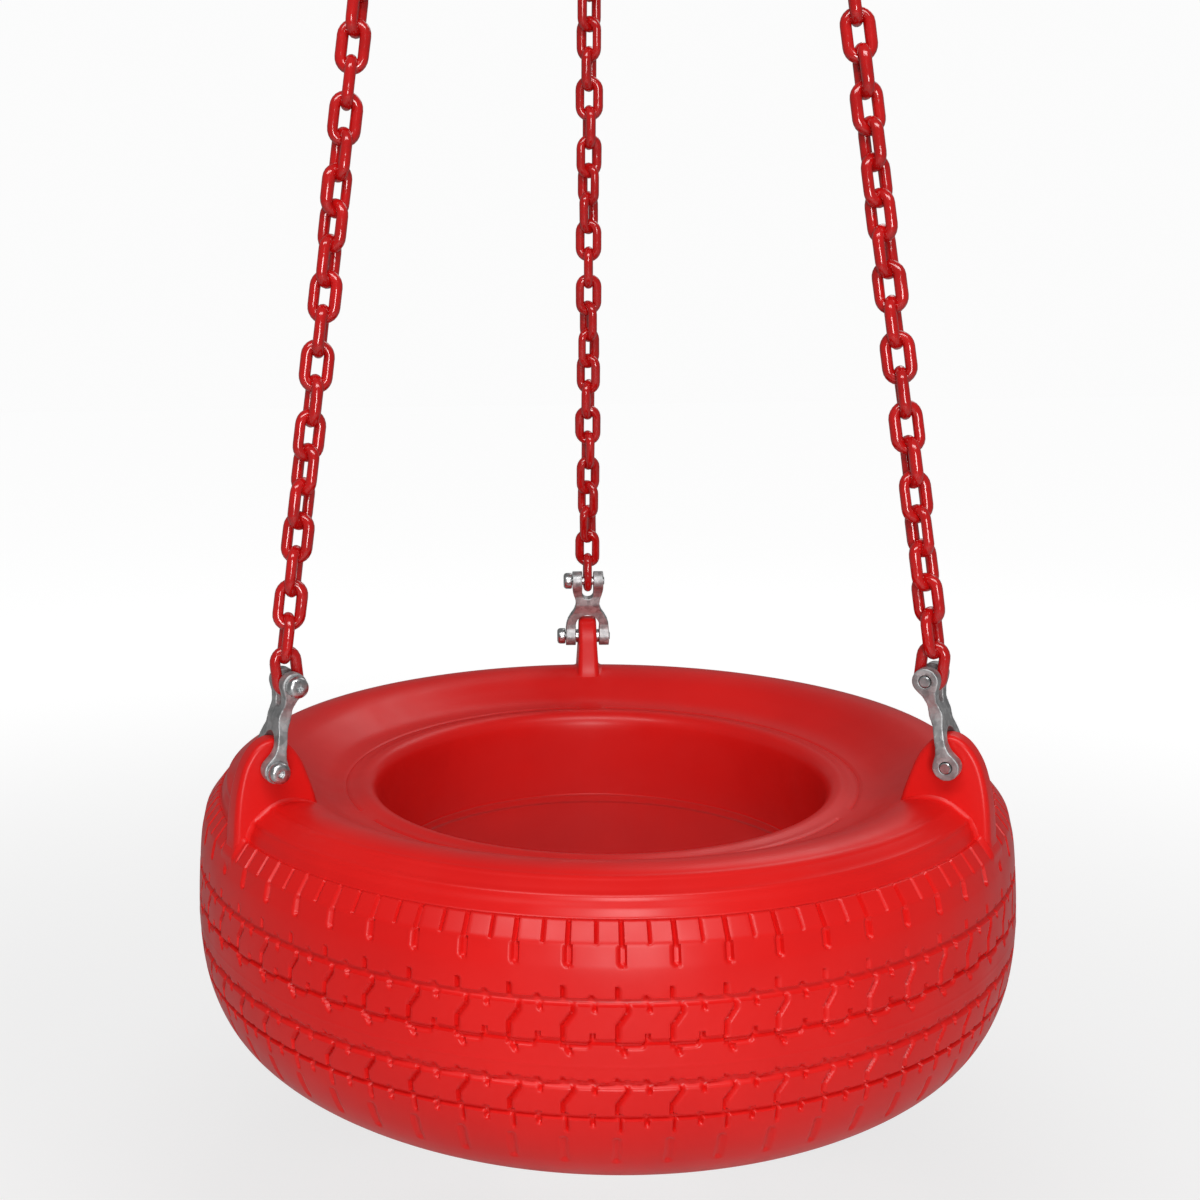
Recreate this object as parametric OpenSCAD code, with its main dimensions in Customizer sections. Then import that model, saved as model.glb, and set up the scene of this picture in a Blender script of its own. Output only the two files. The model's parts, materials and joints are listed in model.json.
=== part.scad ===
// Three-chain tire swing on a universal swivel.
// Millimetres, +Z up. Origin: centre of the beam bracket's top face; the swing hangs below it.
// The seat is hollow and moulded. Three chains run from its lugs to a hub that spins under
// a two-pin knuckle, so the seat swings both ways and turns.

/* [Tire seat] */
// Largest radius of the tread
tread_r = 322; // [316:1:328]
// Radius of the hole through the seat at its rim
hole_r = 180; // [176:1:184]
// Wall thickness of the moulded shell
wall = 5; // [4:0.5:6]
// Thickness of each chain lug
lug_t = 20; // [17:0.5:21]
// Distance of the lug pins from the seat's axis
lug_pin_r = 281; // [279:0.5:282]
// Height of the lug pins above the hole's rim
lug_pin_z = 52.5; // [51:0.5:54]

/* [Chains] */
// Number of links in each chain
links = 54; // [20:2:70]
// Spacing of the links along the chain
link_pitch = 24.1; // [24:0.1:25]
// Diameter of the link wire
wire_d = 6.4; // [5:0.1:6.6]
// Distance between the centres of a link's two straight sides
link_w = 15.7; // [15.2:0.1:16.4]
// Lean of each chain towards the axis, in degrees
chain_lean = 9.2; // [8.8:0.05:9.5]
// Lean of each chain's lowest link, which joins the chain to its shackle, in degrees
first_link_lean = -5; // [-6:0.5:0]
// Half turns that each chain makes from end to end: rear, left, right
half_turns = [31, 30, 29]; // [26:1:32]

/* [Shackles] */
// Distance between a shackle's two pins
shackle_pitch = 61; // [60:0.5:62]
// Lean of the bottom shackles towards the axis, in degrees
shackle_lean = 17.5; // [15:0.5:18]
// Diameter of the shackle pins
shackle_pin_d = 8; // [7:0.5:8]
// Gap of the wide fork, which holds a lug
wide_gap = 23; // [22:0.5:24]
// Gap of the narrow fork, which holds a chain link
narrow_gap = 10; // [9:0.5:11]
// Diameter of the fork's ears
shackle_ear_d = 18.5; // [17:0.5:19]

/* [Swivel] */
// Length of the beam bracket's plate along X
plate_x = 140; // [130:1:160]
// Width of the beam bracket's plate along Y
plate_y = 100; // [90:1:120]
// Thickness of the beam bracket's plate
plate_t = 10; // [8:1:12]
// Spacing of the beam bolts along X
bolt_x = 104; // [96:1:106]
// Spacing of the beam bolts along Y
bolt_y = 64; // [56:1:66]
// Diameter of the beam bolt holes
bolt_hole_d = 11; // [9:0.5:13]
// Diameter of the two knuckle pins
knuckle_pin_d = 14; // [12:0.5:15]
// Diameter of the spindle that the hub turns on
spindle_d = 20; // [18:0.5:21]
// Outer radius of the hub's barrel
hub_r = 36; // [35:0.5:37]
// Number of balls in the thrust bearing
balls = 11; // [8:1:12]

/* [Hidden] */
// Round parts are true circles in the finished model
$fn = 48;
// Radial clearance of a shaft that turns in its bush
run_fit = 0.05;
// Radial clearance of a piece pressed or bolted into another
seat_fit = 0.03;

// Colours
seat_red = [0.80, 0.05, 0.03];
chain_red = [0.72, 0.03, 0.03];
galvanised = [0.62, 0.63, 0.64];
zinc = [0.75, 0.76, 0.78];
bronze = [0.68, 0.48, 0.22];
bearing_steel = [0.82, 0.83, 0.85];
nylon_white = [0.90, 0.89, 0.85];
seal_black = [0.08, 0.08, 0.09];

// Where each lug, chain and shackle stands round the axis: rear, left, right
LUG_ANGLES = [90, 210, 330];

// The two knuckle pins
pin_gap = 26;
arm_t = 10;
eye_r = 18;
knuckle_w = 24;
upper_pin_z = -42;
lower_pin_z = -90;
knuckle_bush_r = 9;
washer_gap_t = 0.8;
knuckle_washer_r = 15;
pin_head_r = 11;
pin_head_t = 6;
pin_washer_t = 2.5;
pin_nut_af = 21;
pin_nut_h = 11;
pin_reach = pin_gap / 2 + arm_t;

// Stem, hub and thrust bearing, from the top down
bridge_z = -118;
bridge_h = 14;
collar_r = 23;
collar_h = 8;
collar_z = bridge_z - bridge_h;
hub_top_z = collar_z - collar_h - 1.5;
hub_bottom_z = -205;
hub_bush_r = 13;
hub_bush_h = 18;
upper_bush_z = hub_top_z - 5;
lower_bush_z = -184;
pocket_z = -185;
pocket_r = 24;
race_h = 4.5;
ball_r = 3.5;
ball_pitch_r = 16.5;
groove_bite = 0.9;
ball_z = pocket_z - race_h - ball_r + groove_bite;
ball_play = 0.12;
race_gap = 2 * (ball_r - groove_bite);
lower_race_top = pocket_z - race_h - race_gap;
spindle_washer_t = 3;
spindle_thread_d = 16;
castle_nut_af = 27;
castle_nut_h = 14;
castle_nut_z = lower_race_top - race_h - spindle_washer_t - castle_nut_h;
spindle_split_z = castle_nut_z + 2;
spindle_end_z = castle_nut_z - 3;
cap_screw_r = 30.2;
cap_screw_d = 3;
cap_flange_t = 3;
cap_cup_r = 26;
cap_bottom_z = -225;
grease_z = -165.2;
grease_angle = 30;
nipple_r = 3;

// Hub ears, shackles and chains
ear_pin_z = -180;
ear_t = 20;
ear_eye_r = 13;
bush_r = 6.5;
link_bend_r = link_w / 2;
link_inside = link_pitch + 0.2;
link_straight = link_inside + wire_d - link_w;
link_first = link_inside / 2 - shackle_pin_d / 2;
wide_outer = 42;
narrow_outer = 30;
waist = 23;

// Places along a lug's chain, as radius and height above the hole's rim, from the lug up
function up(lean) = [-sin(lean), cos(lean)];
LUG_PIN = [lug_pin_r, lug_pin_z];
LOW_CHAIN_PIN = LUG_PIN + shackle_pitch * up(shackle_lean);
FIRST_LINK = LOW_CHAIN_PIN + link_first * up(first_link_lean);
SECOND_LINK = FIRST_LINK + link_pitch / 2 * (up(first_link_lean) + up(chain_lean));
HIGH_CHAIN_PIN = SECOND_LINK + ((links - 2) * link_pitch + link_first) * up(chain_lean);
EAR_PIN = HIGH_CHAIN_PIN + shackle_pitch * up(chain_lean);
ear_pin_r = EAR_PIN[0];
rim_z = ear_pin_z - EAR_PIN[1];

// Outline of the seat's section, as radius and height above the hole's rim: up the bore,
// over the rim's lip, across the dish to the crest, down the tread and back underneath
seat_line = [
    [hole_r - 2.5, -84], [hole_r - 1.5, -40], [hole_r - 1.2, -12], [hole_r + 1.5, -2.5],
    [hole_r + 9, 1.8], [hole_r + 18, 0.5], [hole_r + 28, 0.5], [hole_r + 40, 3.5],
    [hole_r + 54, 11.5], [hole_r + 68, 20], [hole_r + 82, 24.8], [hole_r + 95, 25],
    [tread_r - 37, 21.5], [tread_r - 26, 14], [tread_r - 16, 3.5], [tread_r - 9, -8],
    [tread_r - 5, -23], [tread_r - 2.7, -42], [tread_r - 0.7, -68], [tread_r, -88],
    [tread_r - 0.5, -106], [tread_r - 2.5, -124], [tread_r - 6, -139], [tread_r - 11.5, -153],
    [tread_r - 19, -165], [tread_r - 29.5, -175.5], [tread_r - 43, -184.5],
    [tread_r - 59, -191], [hole_r + 68, -193], [hole_r + 54, -187.5], [hole_r + 40, -175.5],
    [hole_r + 28, -168.5], [hole_r + 18, -168.5], [hole_r + 9, -169.8],
    [hole_r + 1.5, -165.5], [hole_r - 1.2, -156], [hole_r - 1.5, -128]
];
// Outline of a lug, as radius and height: up its inner edge, over the top, down its outer edge
lug_line = [
    [246, 8], [247.5, 24], [252, 40], [258.5, 57], [268, 68.5], [280, 72.5], [291, 67.5],
    [300, 55.5], [305.5, 40], [309, 22], [311, 2], [311, -10], [296, -14], [268, -8]
];
// Heights of the four grooves round the tread
GROOVES = [-44, -72, -98, -124];
groove_w = 5;
groove_depth = 2;
drain_d = 10;
drain_r = hole_r + 68;

// Point between b and c on a smooth closed curve through a, b, c and d
function blend_point(a, b, c, d, t) =
    0.5 * (2 * b + (c - a) * t + (2 * a - 5 * b + 4 * c - d) * t * t
        + (3 * b - a - 3 * c + d) * t * t * t);
// The closed smooth curve through a list of points, with some steps between each two
function smooth(points, steps) = [
    for (i = [0 : len(points) - 1], j = [0 : steps - 1])
        let (n = len(points))
            blend_point(points[(i + n - 1) % n], points[i], points[(i + 1) % n],
                points[(i + 2) % n], j / steps)
];
// The closed curve moved inwards by a distance, for points listed clockwise
function inset(points, distance) = [
    for (i = [0 : len(points) - 1])
        let (
            n = len(points),
            along = points[(i + 1) % n] - points[(i + n - 1) % n]
        )
            points[i] + distance * [along[1], -along[0]] / norm(along)
];

// Puts a child at one of those places, leaning towards the axis; local Y is the pins' axis
module at(angle, place, lean) {
    rotate([0, 0, angle])
        translate([place[0], 0, rim_z + place[1]])
            rotate([0, -lean, 0])
                children();
}

// A cylinder along Y, centred, unless its start is given
module y_bar(r, length, start) {
    translate([0, start, 0])
        rotate([-90, 0, 0])
            cylinder(r = r, h = length);
}

// A cylinder along X from its start
module x_bar(r, length, start) {
    translate([start, 0, 0])
        rotate([0, 90, 0])
            cylinder(r = r, h = length);
}

// A hexagon prism along Z, sized across its flats
module hex(af, h) {
    cylinder(d = af / cos(30), h = h, $fn = 6);
}

// Beam bracket: a bolted plate with two ears that hold the upper knuckle pin
module ear_outline(top_w, reach) {
    circle(r = eye_r);
    polygon([[-eye_r, 0], [eye_r, 0], [top_w / 2, reach], [-top_w / 2, reach]]);
}

module rounded_plate(x, y, r) {
    square([x - 2 * r, y], center = true);
    square([x, y - 2 * r], center = true);
    for (i = [-1, 1], j = [-1, 1])
        translate([i * (x / 2 - r), j * (y / 2 - r)])
            circle(r = r);
}

module beam_bracket() {
    color(galvanised)
        difference() {
            union() {
                translate([0, 0, -plate_t])
                    linear_extrude(height = plate_t)
                        rounded_plate(plate_x, plate_y, 12);
                for (side = [-1, 1])
                    translate([side * (pin_gap + arm_t) / 2, 0, upper_pin_z])
                        rotate([90, 0, 90])
                            linear_extrude(height = arm_t, center = true)
                                ear_outline(60, -upper_pin_z - plate_t / 2);
            }
            for (i = [-1, 1], j = [-1, 1])
                translate([i * bolt_x / 2, j * bolt_y / 2, -plate_t - 1])
                    cylinder(d = bolt_hole_d, h = plate_t + 2);
            translate([0, 0, upper_pin_z])
                x_bar(knuckle_pin_d / 2 + seat_fit, 2 * pin_reach + 2, -pin_reach - 1);
        }
}

// A knuckle pin along X: head, shank and a cross hole for its split pin
module knuckle_pin() {
    shank_end = pin_reach + pin_washer_t + pin_nut_h + 3;
    difference() {
        union() {
            x_bar(knuckle_pin_d / 2, shank_end + pin_reach, -pin_reach);
            x_bar(pin_head_r, pin_head_t, -pin_reach - pin_head_t);
        }
        translate([shank_end - 4, 0, 0])
            cylinder(d = 3.2, h = 40, center = true);
    }
}

module knuckle_pin_washer() {
    difference() {
        x_bar(14, pin_washer_t, pin_reach);
        x_bar(knuckle_pin_d / 2 + 0.3, pin_washer_t + 2, pin_reach - 1);
    }
}

// A slotted hexagon nut that the split pin locks
module knuckle_pin_nut() {
    nut_x = pin_reach + pin_washer_t;
    difference() {
        translate([nut_x, 0, 0])
            rotate([0, 90, 0])
                hex(pin_nut_af, pin_nut_h);
        x_bar(knuckle_pin_d / 2 + seat_fit, pin_nut_h + 2, nut_x - 1);
        for (turn = [0, 60, 120])
            rotate([turn, 0, 0])
                translate([nut_x + pin_nut_h - 1.5, 0, 0])
                    cube([5, 4, 40], center = true);
    }
}

// A split pin through the nut's slots, with a round eye at its end
module knuckle_split_pin() {
    translate([pin_reach + pin_washer_t + pin_nut_h - 1, 0, 0]) {
        cylinder(d = 3, h = 26, center = true);
        translate([0, 0, 15.4])
            rotate([90, 0, 0])
                rotate_extrude()
                    translate([3, 0])
                        circle(r = 1.2, $fn = 24);
    }
}

module upper_pin() {
    color(zinc) translate([0, 0, upper_pin_z]) knuckle_pin();
}

module upper_pin_washer() {
    color(zinc) translate([0, 0, upper_pin_z]) knuckle_pin_washer();
}

module upper_pin_nut() {
    color(zinc) translate([0, 0, upper_pin_z]) knuckle_pin_nut();
}

module upper_split_pin() {
    color(zinc) translate([0, 0, upper_pin_z]) knuckle_split_pin();
}

// The lower pin lies along Y
module lower_place() {
    translate([0, 0, lower_pin_z])
        rotate([0, 0, 90])
            children();
}

module lower_pin() {
    color(zinc) lower_place() knuckle_pin();
}

module lower_pin_washer() {
    color(zinc) lower_place() knuckle_pin_washer();
}

module lower_pin_nut() {
    color(zinc) lower_place() knuckle_pin_nut();
}

module lower_split_pin() {
    color(zinc) lower_place() knuckle_split_pin();
}

// Knuckle: two eyes a quarter turn apart, so that the swing tilts both ways
module knuckle() {
    color(galvanised)
        difference() {
            union() {
                translate([0, 0, upper_pin_z])
                    x_bar(eye_r, knuckle_w, -knuckle_w / 2);
                translate([0, 0, lower_pin_z])
                    y_bar(eye_r, knuckle_w, -knuckle_w / 2);
                translate([0, 0, (upper_pin_z + lower_pin_z) / 2])
                    cube([knuckle_w, knuckle_w, upper_pin_z - lower_pin_z], center = true);
            }
            translate([0, 0, upper_pin_z])
                x_bar(knuckle_bush_r + seat_fit, knuckle_w + 2, -knuckle_w / 2 - 1);
            translate([0, 0, lower_pin_z])
                y_bar(knuckle_bush_r + seat_fit, knuckle_w + 2, -knuckle_w / 2 - 1);
        }
}

module knuckle_bush() {
    difference() {
        x_bar(knuckle_bush_r, knuckle_w, -knuckle_w / 2);
        x_bar(knuckle_pin_d / 2 + run_fit, knuckle_w + 2, -knuckle_w / 2 - 1);
    }
}

module knuckle_washers() {
    for (side = [-1, 1])
        difference() {
            x_bar(knuckle_washer_r, washer_gap_t, side * (knuckle_w + 1) / 2 - washer_gap_t / 2);
            x_bar(knuckle_pin_d / 2 + 0.4, 3, side * (knuckle_w + 1) / 2 - 1.5);
        }
}

module upper_knuckle_bush() {
    color(bronze) translate([0, 0, upper_pin_z]) knuckle_bush();
}

module lower_knuckle_bush() {
    color(bronze) lower_place() knuckle_bush();
}

module upper_thrust_washers() {
    color(nylon_white) translate([0, 0, upper_pin_z]) knuckle_washers();
}

module lower_thrust_washers() {
    color(nylon_white) lower_place() knuckle_washers();
}

// Stem: a fork on the lower knuckle pin, a collar and the spindle that the hub turns on
module swivel_stem() {
    fork_y = pin_gap / 2 + arm_t;
    color(galvanised)
        difference() {
            union() {
                for (side = [-1, 1])
                    translate([0, side * (pin_gap + arm_t) / 2, lower_pin_z])
                        rotate([90, 0, 0])
                            linear_extrude(height = arm_t, center = true) {
                                circle(r = eye_r);
                                translate([-eye_r, bridge_z - lower_pin_z - bridge_h / 2])
                                    square([2 * eye_r, lower_pin_z - bridge_z + bridge_h / 2]);
                            }
                translate([-eye_r, -fork_y, collar_z])
                    cube([2 * eye_r, 2 * fork_y, bridge_h]);
                translate([0, 0, collar_z - collar_h])
                    cylinder(r = collar_r, h = collar_h + 1);
                translate([0, 0, lower_race_top - race_h - spindle_washer_t])
                    cylinder(d = spindle_d, h = collar_z - lower_race_top + race_h + 1);
                translate([0, 0, spindle_end_z])
                    cylinder(d = spindle_thread_d, h = 30);
            }
            translate([0, 0, lower_pin_z])
                y_bar(knuckle_pin_d / 2 + seat_fit, 2 * fork_y + 2, -fork_y - 1);
            translate([0, 0, spindle_split_z])
                x_bar(1.6, 40, -20);
        }
}

// Thrust bearing: a ball runs in a groove of each race
module race(outer_r, bore_r, groove_z) {
    difference() {
        cylinder(r = outer_r, h = race_h);
        translate([0, 0, -1])
            cylinder(r = bore_r, h = race_h + 2);
        translate([0, 0, groove_z])
            rotate_extrude()
                translate([ball_pitch_r, 0])
                    circle(r = ball_r + ball_play);
    }
}

module upper_race() {
    color(bearing_steel)
        translate([0, 0, pocket_z - race_h])
            race(pocket_r - seat_fit, spindle_d / 2 + 1, ball_z - pocket_z + race_h);
}

module lower_race() {
    color(bearing_steel)
        translate([0, 0, lower_race_top - race_h])
            race(pocket_r - 1, spindle_d / 2 + seat_fit, ball_z - lower_race_top + race_h);
}

module bearing_balls() {
    color(bearing_steel)
        for (i = [0 : balls - 1])
            rotate([0, 0, i * 360 / balls])
                translate([ball_pitch_r, 0, ball_z])
                    sphere(r = ball_r);
}

module ball_cage() {
    color(bronze)
        translate([0, 0, ball_z - 1])
            difference() {
                cylinder(r = ball_pitch_r + 4.6, h = 2);
                translate([0, 0, -1])
                    cylinder(r = ball_pitch_r - 4.6, h = 4);
                for (i = [0 : balls - 1])
                    rotate([0, 0, i * 360 / balls])
                        translate([ball_pitch_r, 0, -1])
                            cylinder(r = ball_r + 0.1, h = 4);
            }
}

module spindle_washer() {
    color(zinc)
        translate([0, 0, lower_race_top - race_h - spindle_washer_t])
            difference() {
                cylinder(r = 18, h = spindle_washer_t);
                translate([0, 0, -1])
                    cylinder(d = spindle_d + 0.2, h = spindle_washer_t + 2);
            }
}

module castle_nut() {
    color(zinc)
        translate([0, 0, castle_nut_z])
            difference() {
                hex(castle_nut_af, castle_nut_h);
                translate([0, 0, -1])
                    cylinder(d = spindle_thread_d + 2 * seat_fit, h = castle_nut_h + 2);
                for (turn = [0, 60, 120])
                    rotate([0, 0, turn])
                        translate([0, 0, 1])
                            cube([40, 4, 8], center = true);
            }
}

module spindle_split_pin() {
    color(zinc)
        translate([0, 0, spindle_split_z])
            x_bar(1.5, 36, -18);
}

// Hub: a barrel with two bushes and a bearing pocket, and three ears for the shackles
module hub() {
    ear_reach = ear_pin_r - hub_r / 2;
    color(galvanised)
        difference() {
            union() {
                translate([0, 0, hub_bottom_z])
                    cylinder(r = hub_r, h = hub_top_z - hub_bottom_z);
                for (angle = LUG_ANGLES)
                    rotate([0, 0, angle])
                        translate([ear_pin_r, 0, ear_pin_z])
                            rotate([90, 0, 0])
                                linear_extrude(height = ear_t, center = true) {
                                    circle(r = ear_eye_r);
                                    translate([-ear_reach, -ear_eye_r])
                                        square([ear_reach, 2 * ear_eye_r]);
                                    polygon([[-ear_reach, 0], [0, ear_eye_r],
                                        [hub_r - 5 - ear_pin_r, 28], [-ear_reach, 28]]);
                                }
            }
            translate([0, 0, hub_bottom_z - 1])
                cylinder(r = pocket_r, h = pocket_z - hub_bottom_z + 1);
            translate([0, 0, hub_bottom_z])
                cylinder(r = hub_bush_r + seat_fit, h = hub_top_z - hub_bottom_z + 1);
            for (angle = LUG_ANGLES)
                rotate([0, 0, angle])
                    translate([ear_pin_r, 0, ear_pin_z])
                        y_bar(bush_r + seat_fit, ear_t + 2, -ear_t / 2 - 1);
            rotate([0, 0, grease_angle])
                translate([0, 0, grease_z]) {
                    x_bar(nipple_r, 20, hub_r - 9);
                    x_bar(1.2, 40, 5);
                }
            for (angle = LUG_ANGLES)
                rotate([0, 0, angle + 60])
                    translate([cap_screw_r, 0, hub_bottom_z - 1])
                        cylinder(d = cap_screw_d + 2 * seat_fit, h = 11);
        }
}

module hub_bush(top_z) {
    translate([0, 0, top_z - hub_bush_h])
        difference() {
            cylinder(r = hub_bush_r, h = hub_bush_h);
            translate([0, 0, -1])
                cylinder(r = spindle_d / 2 + run_fit, h = hub_bush_h + 2);
        }
}

module upper_hub_bush() {
    color(bronze) hub_bush(upper_bush_z);
}

module lower_hub_bush() {
    color(bronze) hub_bush(lower_bush_z + hub_bush_h);
}

// Lip seal in the top of the hub's bore
module hub_seal() {
    color(seal_black)
        translate([0, 0, upper_bush_z + 0.2])
            difference() {
                cylinder(r = hub_bush_r, h = 4.3);
                translate([0, 0, -1])
                    cylinder(r = spindle_d / 2 + 0.3, h = 7);
            }
}

module grease_nipple() {
    color(zinc)
        rotate([0, 0, grease_angle])
            translate([0, 0, grease_z]) {
                x_bar(nipple_r - seat_fit, 8, hub_r - 8);
                translate([hub_r, 0, 0])
                    rotate([0, 90, 0])
                        hex(9, 3);
                x_bar(2.4, 5, hub_r + 3);
                translate([hub_r + 8, 0, 0])
                    sphere(r = 2.9, $fn = 32);
            }
}

// Cap that closes the bearing pocket from below, with three screws
module dust_cap() {
    color(galvanised)
        translate([0, 0, cap_bottom_z])
            difference() {
                union() {
                    translate([0, 0, hub_bottom_z - cap_bottom_z - cap_flange_t])
                        cylinder(r = hub_r - 1, h = cap_flange_t);
                    cylinder(r = cap_cup_r, h = hub_bottom_z - cap_bottom_z - 1);
                }
                translate([0, 0, 2])
                    cylinder(r = cap_cup_r - 2, h = 40);
                for (angle = LUG_ANGLES)
                    rotate([0, 0, angle + 60])
                        translate([cap_screw_r, 0, 10])
                            cylinder(d = cap_screw_d + 0.6, h = 30);
            }
}

module cap_screws() {
    color(zinc)
        for (angle = LUG_ANGLES)
            rotate([0, 0, angle + 60])
                translate([cap_screw_r, 0, hub_bottom_z - cap_flange_t]) {
                    translate([0, 0, -2.4])
                        difference() {
                            cylinder(d = 7.5, h = 2.4);
                            translate([0, 0, -1])
                                hex(3, 2.4);
                        }
                    cylinder(d = cap_screw_d, h = cap_flange_t + 8);
                }
}

// A steel bush through a lug or ear, long enough to space the shackle's arms
module pin_bush() {
    length = wide_gap - 1;
    difference() {
        y_bar(bush_r, length, -length / 2);
        y_bar(shackle_pin_d / 2 + run_fit, length + 2, -length / 2 - 1);
    }
}

module lug_bushes() {
    color(zinc) for (angle = LUG_ANGLES) at(angle, LUG_PIN, shackle_lean) pin_bush();
}

module hub_ear_bushes() {
    color(zinc) for (angle = LUG_ANGLES) at(angle, EAR_PIN, chain_lean) pin_bush();
}

// H-shaped shackle: a wide fork at the bottom, a waist and a narrow fork at the top
module shackle_front() {
    arch_z = wide_gap / 2 + 1.5;
    slot_z = shackle_pitch - 18 + narrow_gap / 2;
    end_r = shackle_ear_d / 2;
    difference() {
        polygon([
            [-wide_outer / 2, -end_r], [wide_outer / 2, -end_r],
            [wide_outer / 2, arch_z + 2], [wide_outer / 2 - 3, arch_z + 9],
            [waist / 2 + 1, arch_z + 18], [waist / 2, shackle_pitch / 2 + 4],
            [waist / 2 + 1, shackle_pitch - 17], [narrow_outer / 2, shackle_pitch - 9],
            [narrow_outer / 2, shackle_pitch + end_r], [-narrow_outer / 2, shackle_pitch + end_r],
            [-narrow_outer / 2, shackle_pitch - 9], [-waist / 2 - 1, shackle_pitch - 17],
            [-waist / 2, shackle_pitch / 2 + 4], [-waist / 2 - 1, arch_z + 18],
            [-wide_outer / 2 + 3, arch_z + 9], [-wide_outer / 2, arch_z + 2]
        ]);
        translate([0, arch_z]) circle(r = wide_gap / 2);
        translate([-wide_gap / 2, -20]) square([wide_gap, arch_z + 20]);
        translate([0, slot_z]) circle(r = narrow_gap / 2);
        translate([-narrow_gap / 2, slot_z]) square([narrow_gap, 40]);
    }
}

module shackle_side() {
    circle(d = shackle_ear_d);
    translate([0, shackle_pitch]) circle(d = shackle_ear_d);
    translate([-5, 0]) square([10, shackle_pitch]);
}

module shackle() {
    difference() {
        intersection() {
            rotate([90, 0, 90])
                linear_extrude(height = 40, center = true)
                    shackle_front();
            rotate([90, 0, 0])
                linear_extrude(height = 60, center = true)
                    shackle_side();
        }
        y_bar(shackle_pin_d / 2 + seat_fit, 60, -30);
        translate([0, 0, shackle_pitch])
            y_bar(shackle_pin_d / 2 + seat_fit, 60, -30);
    }
}

// A shackle pin along Y: domed head with a hexagon socket on one side, flush on the other
module shackle_pin(across) {
    head_r = 7.5;
    color(zinc)
        difference() {
            union() {
                y_bar(shackle_pin_d / 2, across + 1, -across / 2 - 1);
                y_bar(head_r, 4, across / 2);
                translate([0, across / 2 + 4, 0])
                    rotate([-90, 0, 0])
                        cylinder(r1 = head_r, r2 = head_r - 2.5, h = 3);
            }
            translate([0, across / 2 + 3.5, 0])
                rotate([-90, 0, 0])
                    hex(5, 6);
        }
}

module bottom_shackle(angle) {
    color(galvanised) at(angle, LUG_PIN, shackle_lean) shackle();
}

// The top shackle is the same piece turned over
module top_shackle(angle) {
    color(galvanised) at(angle, EAR_PIN, chain_lean) rotate([0, 180, 0]) shackle();
}

module lug_pins() {
    for (angle = LUG_ANGLES) at(angle, LUG_PIN, shackle_lean) shackle_pin(wide_outer);
}

module bottom_chain_pins() {
    for (angle = LUG_ANGLES) at(angle, LOW_CHAIN_PIN, shackle_lean) shackle_pin(narrow_outer);
}

module top_chain_pins() {
    for (angle = LUG_ANGLES) at(angle, HIGH_CHAIN_PIN, chain_lean) shackle_pin(narrow_outer);
}

module hub_ear_pins() {
    for (angle = LUG_ANGLES) at(angle, EAR_PIN, chain_lean) shackle_pin(wide_outer);
}

// One link: two straight sides and two half rings
module link() {
    for (side = [-1, 1])
        translate([side * link_bend_r, 0, 0])
            cylinder(d = wire_d, h = link_straight, center = true, $fn = 24);
    for (end = [0, 180])
        rotate([0, end, 0])
            translate([0, 0, link_straight / 2])
                rotate([90, 0, 0])
                    rotate_extrude(angle = 180)
                        translate([link_bend_r, 0])
                            circle(d = wire_d, $fn = 24);
}

// A chain: each link is turned a little over a quarter turn from the one below it, clockwise
// as seen from above
module chain(angle, turns) {
    step = turns * 180 / (links - 1);
    color(chain_red) {
        at(angle, FIRST_LINK, first_link_lean) link();
        for (k = [1 : links - 1])
            at(angle, SECOND_LINK + (k - 1) * link_pitch * up(chain_lean), chain_lean)
                rotate([0, 0, -k * step])
                    link();
    }
}

// Seat: a closed hollow ring with three lugs; its tread has four grooves
module seat_solid(distance) {
    rotate_extrude($fn = 96)
        polygon(inset(smooth(seat_line, 2), distance));
}

module lug_plate(angle) {
    rotate([0, 0, angle])
        rotate([90, 0, 0])
            linear_extrude(height = lug_t, center = true)
                polygon(smooth(lug_line, 2));
}

module tread_groove(z) {
    translate([0, 0, z - groove_w / 2])
        difference() {
            cylinder(r = tread_r + 10, h = groove_w, $fn = 96);
            translate([0, 0, -1])
                cylinder(r = tread_r - groove_depth - abs(z + 84) * 0.04, h = groove_w + 2, $fn = 96);
        }
}

module tire_shell() {
    color(seat_red)
        difference() {
            translate([0, 0, rim_z])
                difference() {
                    union() {
                        seat_solid(0);
                        for (angle = LUG_ANGLES)
                            lug_plate(angle);
                    }
                    seat_solid(wall);
                    for (z = GROOVES)
                        tread_groove(z);
                    for (angle = LUG_ANGLES)
                        rotate([0, 0, angle + 60])
                            translate([drain_r, 0, -210])
                                cylinder(d = drain_d, h = 40);
                }
            for (angle = LUG_ANGLES)
                at(angle, LUG_PIN, 0)
                    y_bar(bush_r + seat_fit, lug_t + 20, -lug_t / 2 - 10);
        }
}

beam_bracket();
upper_pin();
upper_pin_washer();
upper_pin_nut();
upper_split_pin();
knuckle();
upper_knuckle_bush();
lower_knuckle_bush();
upper_thrust_washers();
lower_thrust_washers();
swivel_stem();
lower_pin();
lower_pin_washer();
lower_pin_nut();
lower_split_pin();
lower_race();
spindle_washer();
castle_nut();
spindle_split_pin();
ball_cage();
bearing_balls();
hub();
upper_hub_bush();
lower_hub_bush();
upper_race();
hub_seal();
grease_nipple();
dust_cap();
cap_screws();
hub_ear_bushes();
hub_ear_pins();
top_shackle(LUG_ANGLES[0]);  // top_shackle_rear
top_shackle(LUG_ANGLES[1]);  // top_shackle_left
top_shackle(LUG_ANGLES[2]);  // top_shackle_right
top_chain_pins();
chain(LUG_ANGLES[0], half_turns[0]);  // chain_rear
chain(LUG_ANGLES[1], half_turns[1]);  // chain_left
chain(LUG_ANGLES[2], half_turns[2]);  // chain_right
bottom_chain_pins();
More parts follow.
